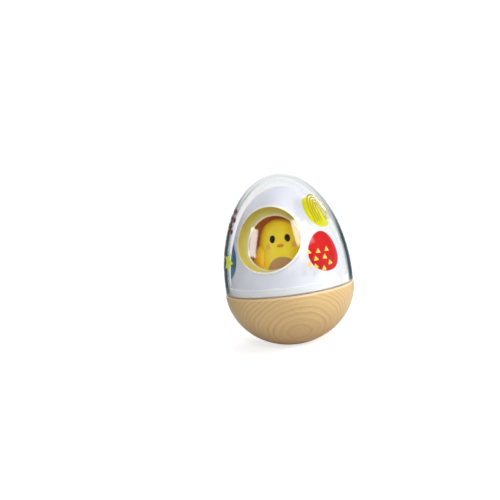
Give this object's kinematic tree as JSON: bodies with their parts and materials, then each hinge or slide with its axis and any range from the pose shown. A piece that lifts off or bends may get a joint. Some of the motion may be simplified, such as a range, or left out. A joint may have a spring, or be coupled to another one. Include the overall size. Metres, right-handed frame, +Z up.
{
  "type": "roly-poly egg toy",
  "caption": "Egg-shaped wobbling baby toy: weighted turned wood base, clear dome over a white shell with a round window, and a chick inside that turns on a peg.",
  "frame": {"origin": "middle of the small flat under the base that the toy stands on", "axes": "+Z up along the egg's axis, -Y out of the window"},
  "size_m": [0.1, 0.1, 0.1324],
  "materials": {
    "beech": "sanded, clear water-based lacquer, satin",
    "steel": "plain zinc-plated",
    "white_deck": "satin moulded plastic",
    "peg": "plain turned wood",
    "chick_yellow": "matt water-based paint",
    "chick_orange": "matt water-based paint",
    "eye_black": "gloss",
    "white_shell": "semi-gloss moulded plastic with printed eggs",
    "lime_ring": "satin moulded plastic",
    "seat_ring": "dull slippery plastic",
    "clear_dome": "clear, polished, with small prints"
  },
  "bodies": {
    "base": {"wooden_base": "beech", "counterweight": "steel", "counterweight_screw": "steel", "deck": "white_deck", "deck_screw_1": "steel", "deck_screw_2": "steel", "deck_screw_3": "steel", "deck_screw_4": "steel", "chick_peg": "peg", "peg_screw": "steel"},
    "chick": {"chick_body": "chick_yellow", "chick_wing_left": "chick_orange", "chick_wing_right": "chick_orange", "chick_eye_left": "eye_black", "chick_eye_right": "eye_black", "chick_beak": "chick_orange"},
    "shell": {"egg_shell": "white_shell", "window_ring": "lime_ring"},
    "seat_ring": {"dome_seat_ring": "seat_ring"},
    "dome": {"clear_dome": "clear_dome"}
  },
  "joints": [
    {"name": "chick_turn", "type": "hinge", "parent": "base", "child": "chick", "pos_m": [0, 0, 0.046], "axis": [0, 0, 1], "continuous": true},
    {"name": "shell_lift", "type": "slide", "parent": "base", "child": "shell", "axis": [0, 0, 1], "range_m": [0, 0.07]},
    {"name": "dome_turn", "type": "hinge", "parent": "shell", "child": "seat_ring", "pos_m": [0, 0, 0.0447], "axis": [0, 0, 1], "continuous": true},
    {"name": "dome_lift", "type": "slide", "parent": "seat_ring", "child": "dome", "axis": [0, 0, 1], "range_m": [0, 0.09]}
  ]
}
